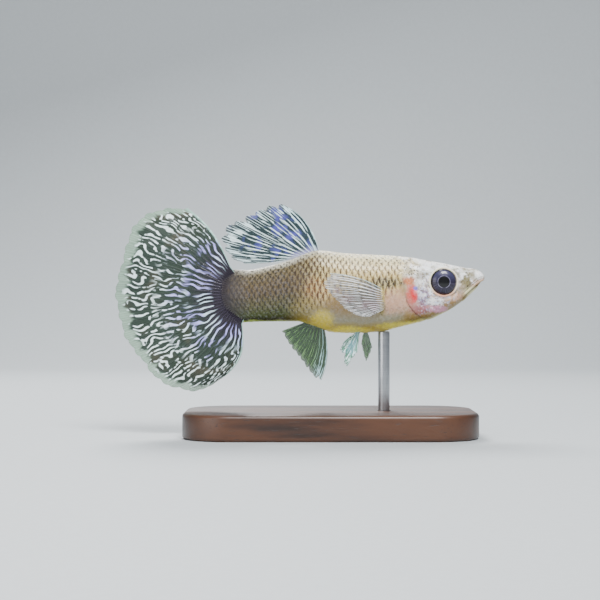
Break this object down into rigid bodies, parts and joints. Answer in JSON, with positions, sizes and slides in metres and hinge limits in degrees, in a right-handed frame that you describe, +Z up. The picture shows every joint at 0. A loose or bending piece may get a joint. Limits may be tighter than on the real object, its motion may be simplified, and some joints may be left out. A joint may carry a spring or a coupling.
{
  "type": "fancy guppy display model",
  "caption": "Life-size female fancy guppy with a broad patterned fan tail, swimming level on a rod over a flat wooden base, as a still museum model.",
  "frame": {"origin": "middle of the underside of the display base", "axes": "+X the way the fish faces, +Y the fish's left, +Z up"},
  "size_m": [0.0509, 0.022, 0.0319],
  "materials": {
    "head_skin": "moist skin, pearly grey-white with dark speckles",
    "trunk_skin": "moist skin, ochre with dark-edged scales",
    "stalk_skin": "moist skin, grey-brown with dark-edged scales",
    "tail_fin_web": "thin web, white and pale blue maze pattern on dark grey",
    "dorsal_fin_web": "thin web, pale blue rays on dark grey",
    "anal_fin_web": "thin web, grey-green with a pale blue front edge",
    "paired_fin_web": "thin clear web with whitish rays",
    "eye": "glossy, dark iris and black pupil",
    "rod_steel": "satin",
    "base_wood": "dark oiled walnut"
  },
  "bodies": {
    "root": {"head": "head_skin", "lower_jaw": "head_skin", "left_gill_cover": "head_skin", "right_gill_cover": "head_skin", "left_eye": "eye", "right_eye": "eye", "trunk": "trunk_skin", "tail_stalk": "stalk_skin", "tail_fin": "tail_fin_web", "dorsal_fin": "dorsal_fin_web", "anal_fin": "anal_fin_web", "left_pelvic_fin": "paired_fin_web", "right_pelvic_fin": "paired_fin_web", "left_pectoral_fin": "paired_fin_web", "right_pectoral_fin": "paired_fin_web", "stand_rod": "rod_steel", "stand_base": "base_wood"}
  },
  "joints": []
}
